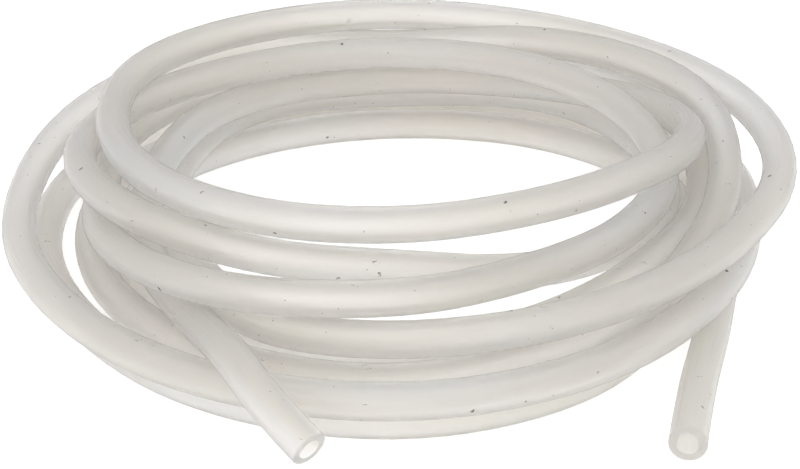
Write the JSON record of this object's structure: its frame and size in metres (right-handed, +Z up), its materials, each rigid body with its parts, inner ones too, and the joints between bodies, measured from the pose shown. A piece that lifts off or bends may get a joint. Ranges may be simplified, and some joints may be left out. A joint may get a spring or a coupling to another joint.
{
  "type": "silicone tubing coil",
  "caption": "Loose coil of soft translucent silicone tube, with both ends cut square and left open for pushing onto barbed fittings.",
  "frame": {"origin": "on the surface that the coil lies on, under the middle of its box", "axes": "+Z up out of the coil, -Y towards the side where both tube ends come out, +X to the right seen from there"},
  "size_m": [0.236, 0.256, 0.0486],
  "materials": {
    "silicone": "satin"
  },
  "bodies": {
    "root": {"silicone_tube": "silicone"}
  },
  "joints": []
}
